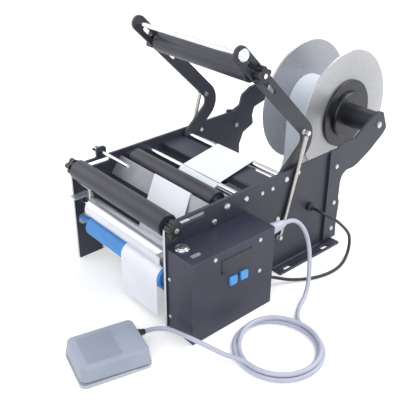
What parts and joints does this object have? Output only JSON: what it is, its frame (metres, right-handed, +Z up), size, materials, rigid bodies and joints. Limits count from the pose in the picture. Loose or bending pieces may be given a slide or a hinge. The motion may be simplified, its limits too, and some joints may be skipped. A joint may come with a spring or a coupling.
{
  "type": "bottle labelling machine",
  "caption": "Bench machine that rolls a round bottle on two rollers under a sprung press arm while a driven web peels labels onto it; rear label reel, side control box and foot pedal.",
  "frame": {"origin": "centre of the footprint of machine and pedal, on the floor", "axes": "+Z up, +Y from the bottle rollers towards the label reel at the rear, +X towards the control box on the operator's right"},
  "size_m": [0.4172, 0.6571, 0.3448],
  "materials": {
    "black_plate": "fine satin",
    "black_sheet": "fine satin",
    "chrome_rod": "polished",
    "blade_steel": "brushed",
    "polished_sheet": "mirror",
    "screw_steel": "bright",
    "black_rubber": "satin",
    "black_plastic": "satin",
    "silver_roller": "satin",
    "pale_bracket": "satin",
    "spring_steel": "bright",
    "blue_rubber": "satin",
    "pulley_aluminium": "satin",
    "bearing_steel": "satin",
    "motor_black": "satin",
    "belt_rubber": "matt",
    "label_paper": "satin",
    "liner_paper": "satin",
    "disc_plastic": "satin",
    "display_dark": "glossy",
    "blue_button": "glossy",
    "chrome_ring": "polished",
    "board_green": "satin",
    "nickel": "polished",
    "black_cable": "satin",
    "grey_cable": "satin",
    "pedal_grey": "satin"
  },
  "bodies": {
    "machine_frame": {"left_side_plate": "black_plate", "right_side_plate": "black_plate", "left_reel_bracket": "black_plate", "right_reel_bracket": "black_plate", "cross_rods": "chrome_rod", "arm_pivot_shaft": "chrome_rod", "peel_blade": "blade_steel", "peel_bar": "black_plate", "web_table": "polished_sheet", "frame_screws": "screw_steel", "arm_stops_and_anchors": "screw_steel", "pinch_brackets": "pale_bracket", "pinch_springs": "spring_steel", "drive_bearings": "bearing_steel", "drive_motor": "motor_black", "drive_belt": "belt_rubber", "label_web": "label_paper", "backing_liner": "liner_paper", "label_sensor": "black_plastic", "reel_shaft": "chrome_rod", "box_body": "black_sheet", "box_cover": "black_sheet", "display_module": "display_dark", "power_switch_ring": "chrome_ring", "box_electronics": "board_green", "box_sockets": "nickel", "pedal_plug": "nickel", "cable_glands": "black_plastic", "machine_lead": "black_cable", "pedal_cable": "grey_cable", "pedal_cable_coil": "grey_cable", "pedal_base": "pedal_grey", "pedal_pin": "screw_steel", "pedal_spring": "spring_steel", "pedal_switch": "black_plastic", "tension_springs": "spring_steel"},
    "front_carriage": {"front_roller_shaft": "chrome_rod"},
    "front_roller": {"front_roller": "black_rubber"},
    "front_knobs": {"front_knobs": "black_plastic"},
    "middle_roller": {"middle_roller": "black_rubber"},
    "stop_screw": {"stop_screw": "chrome_rod"},
    "pinch_carriage": {"pinch_shaft": "chrome_rod"},
    "pinch_roller": {"pinch_roller": "silver_roller"},
    "drive_roller": {"drive_roller": "blue_rubber", "roller_pulley": "pulley_aluminium"},
    "motor_pulley": {"motor_pulley": "pulley_aluminium"},
    "reel": {"reel_discs": "disc_plastic", "reel_hubs": "black_plastic", "label_roll": "label_paper"},
    "press_arm": {"press_arm_left": "black_plate", "press_arm_right": "black_plate", "handle_rod": "chrome_rod", "hook_bolts": "screw_steel"},
    "press_slider": {"press_roller_shaft": "chrome_rod"},
    "press_roller": {"press_roller": "black_rubber"},
    "press_knobs": {"press_knobs": "black_plastic"},
    "left_button": {"left_button": "blue_button"},
    "right_button": {"right_button": "blue_button"},
    "power_button": {"power_button": "chrome_ring"},
    "pedal_treadle": {"pedal_treadle": "pedal_grey"}
  },
  "joints": [
    {"name": "press_arm_swing", "type": "hinge", "parent": "machine_frame", "child": "press_arm", "pos_m": [-0.01655, 0.02675, 0.1447], "axis": [1, 0, 0], "range_deg": [0, 55], "deforming": ["tension_springs"]},
    {"name": "press_roller_slide", "type": "slide", "parent": "press_arm", "child": "press_slider", "axis": [0, 0.7121, -0.7021], "range_m": [-0.022, 0.039]},
    {"name": "press_roller_spin", "type": "hinge", "parent": "press_slider", "child": "press_roller", "pos_m": [-0.01655, -0.03306, 0.30521], "axis": [1, 0, 0], "continuous": true},
    {"name": "press_knob_turn", "type": "hinge", "parent": "press_slider", "child": "press_knobs", "pos_m": [-0.01655, -0.03306, 0.30521], "axis": [1, 0, 0], "range_deg": [-360, 0]},
    {"name": "front_roller_slide", "type": "slide", "parent": "machine_frame", "child": "front_carriage", "axis": [0, 1, 0], "range_m": [0, 0.032]},
    {"name": "front_roller_spin", "type": "hinge", "parent": "front_carriage", "child": "front_roller", "pos_m": [-0.01655, -0.17625, 0.1463], "axis": [1, 0, 0], "continuous": true},
    {"name": "front_knob_turn", "type": "hinge", "parent": "front_carriage", "child": "front_knobs", "pos_m": [-0.01655, -0.17625, 0.1463], "axis": [1, 0, 0], "range_deg": [-360, 0]},
    {"name": "middle_roller_spin", "type": "hinge", "parent": "machine_frame", "child": "middle_roller", "pos_m": [-0.01655, -0.08525, 0.142], "axis": [1, 0, 0], "continuous": true},
    {"name": "drive_roller_spin", "type": "hinge", "parent": "machine_frame", "child": "drive_roller", "pos_m": [-0.01655, -0.17325, 0.0656], "axis": [1, 0, 0], "continuous": true},
    {"name": "motor_spin", "type": "hinge", "parent": "machine_frame", "child": "motor_pulley", "pos_m": [-0.01655, -0.11625, 0.048], "axis": [1, 0, 0], "continuous": true},
    {"name": "pinch_lift", "type": "slide", "parent": "machine_frame", "child": "pinch_carriage", "axis": [0, 0, 1], "range_m": [0, 0.003], "stiffness_N_per_m": 3000, "springref_m": -0.003, "deforming": ["pinch_springs"]},
    {"name": "pinch_roller_spin", "type": "hinge", "parent": "pinch_carriage", "child": "pinch_roller", "pos_m": [-0.01655, -0.17325, 0.0957], "axis": [1, 0, 0], "continuous": true},
    {"name": "reel_spin", "type": "hinge", "parent": "machine_frame", "child": "reel", "pos_m": [-0.01655, 0.22765, 0.1739], "axis": [1, 0, 0], "continuous": true},
    {"name": "stop_screw_feed", "type": "slide", "parent": "machine_frame", "child": "stop_screw", "axis": [1, 0, 0], "range_m": [-0.055, 0.01]},
    {"name": "left_button_press", "type": "slide", "parent": "machine_frame", "child": "left_button", "axis": [-1, 0, 0], "range_m": [0, 0.0015], "stiffness_N_per_m": 400, "springref_m": -0.0005},
    {"name": "right_button_press", "type": "slide", "parent": "machine_frame", "child": "right_button", "axis": [-1, 0, 0], "range_m": [0, 0.0015], "stiffness_N_per_m": 400, "springref_m": -0.0005},
    {"name": "power_button_press", "type": "slide", "parent": "machine_frame", "child": "power_button", "axis": [0, 0, -1], "range_m": [0, 0.002], "stiffness_N_per_m": 500, "springref_m": -0.0006},
    {"name": "pedal_press", "type": "hinge", "parent": "machine_frame", "child": "pedal_treadle", "pos_m": [0.10095, -0.24817, 0.01], "axis": [0.9703, -0.2419, 0], "range_deg": [0, 2.3], "stiffness_Nm_per_rad": 20, "springref_deg": -1.72, "deforming": ["pedal_spring"]}
  ],
  "couplings": [
    {"joint": "motor_spin", "follows": "drive_roller_spin", "ratio": 1},
    {"joint": "pinch_roller_spin", "follows": "drive_roller_spin", "ratio": -1.0857}
  ]
}
